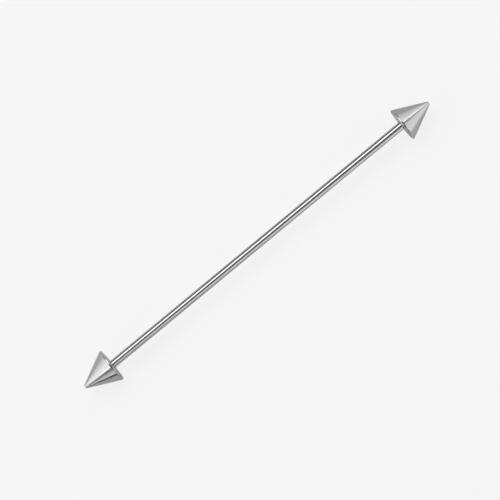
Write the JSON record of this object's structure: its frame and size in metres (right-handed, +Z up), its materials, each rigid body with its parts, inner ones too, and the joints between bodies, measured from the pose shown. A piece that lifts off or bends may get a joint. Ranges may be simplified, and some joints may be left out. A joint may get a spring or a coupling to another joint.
{
  "type": "industrial barbell",
  "caption": "Long straight steel bar for an ear, with a screw-on cone at each end, lying on the rims of its cones.",
  "frame": {"origin": "on the surface that the barbell lies on, under the middle of the bar", "axes": "+X along the bar towards the right cone, +Z up from the surface that it lies on, +Y level and across the bar"},
  "size_m": [0.0638, 0.0052, 0.0052],
  "materials": {
    "bar_steel": "mirror-polished surgical steel",
    "cone_steel": "mirror-polished surgical steel"
  },
  "bodies": {
    "bar": {"bar": "bar_steel"},
    "left_cone": {"left_cone": "cone_steel"},
    "right_cone": {"right_cone": "cone_steel"}
  },
  "joints": [
    {"name": "left_cone_unscrew", "type": "slide", "parent": "bar", "child": "left_cone", "axis": [-1, 0, 0], "range_m": [0, 0.012]},
    {"name": "right_cone_unscrew", "type": "slide", "parent": "bar", "child": "right_cone", "axis": [1, 0, 0], "range_m": [0, 0.012]}
  ]
}
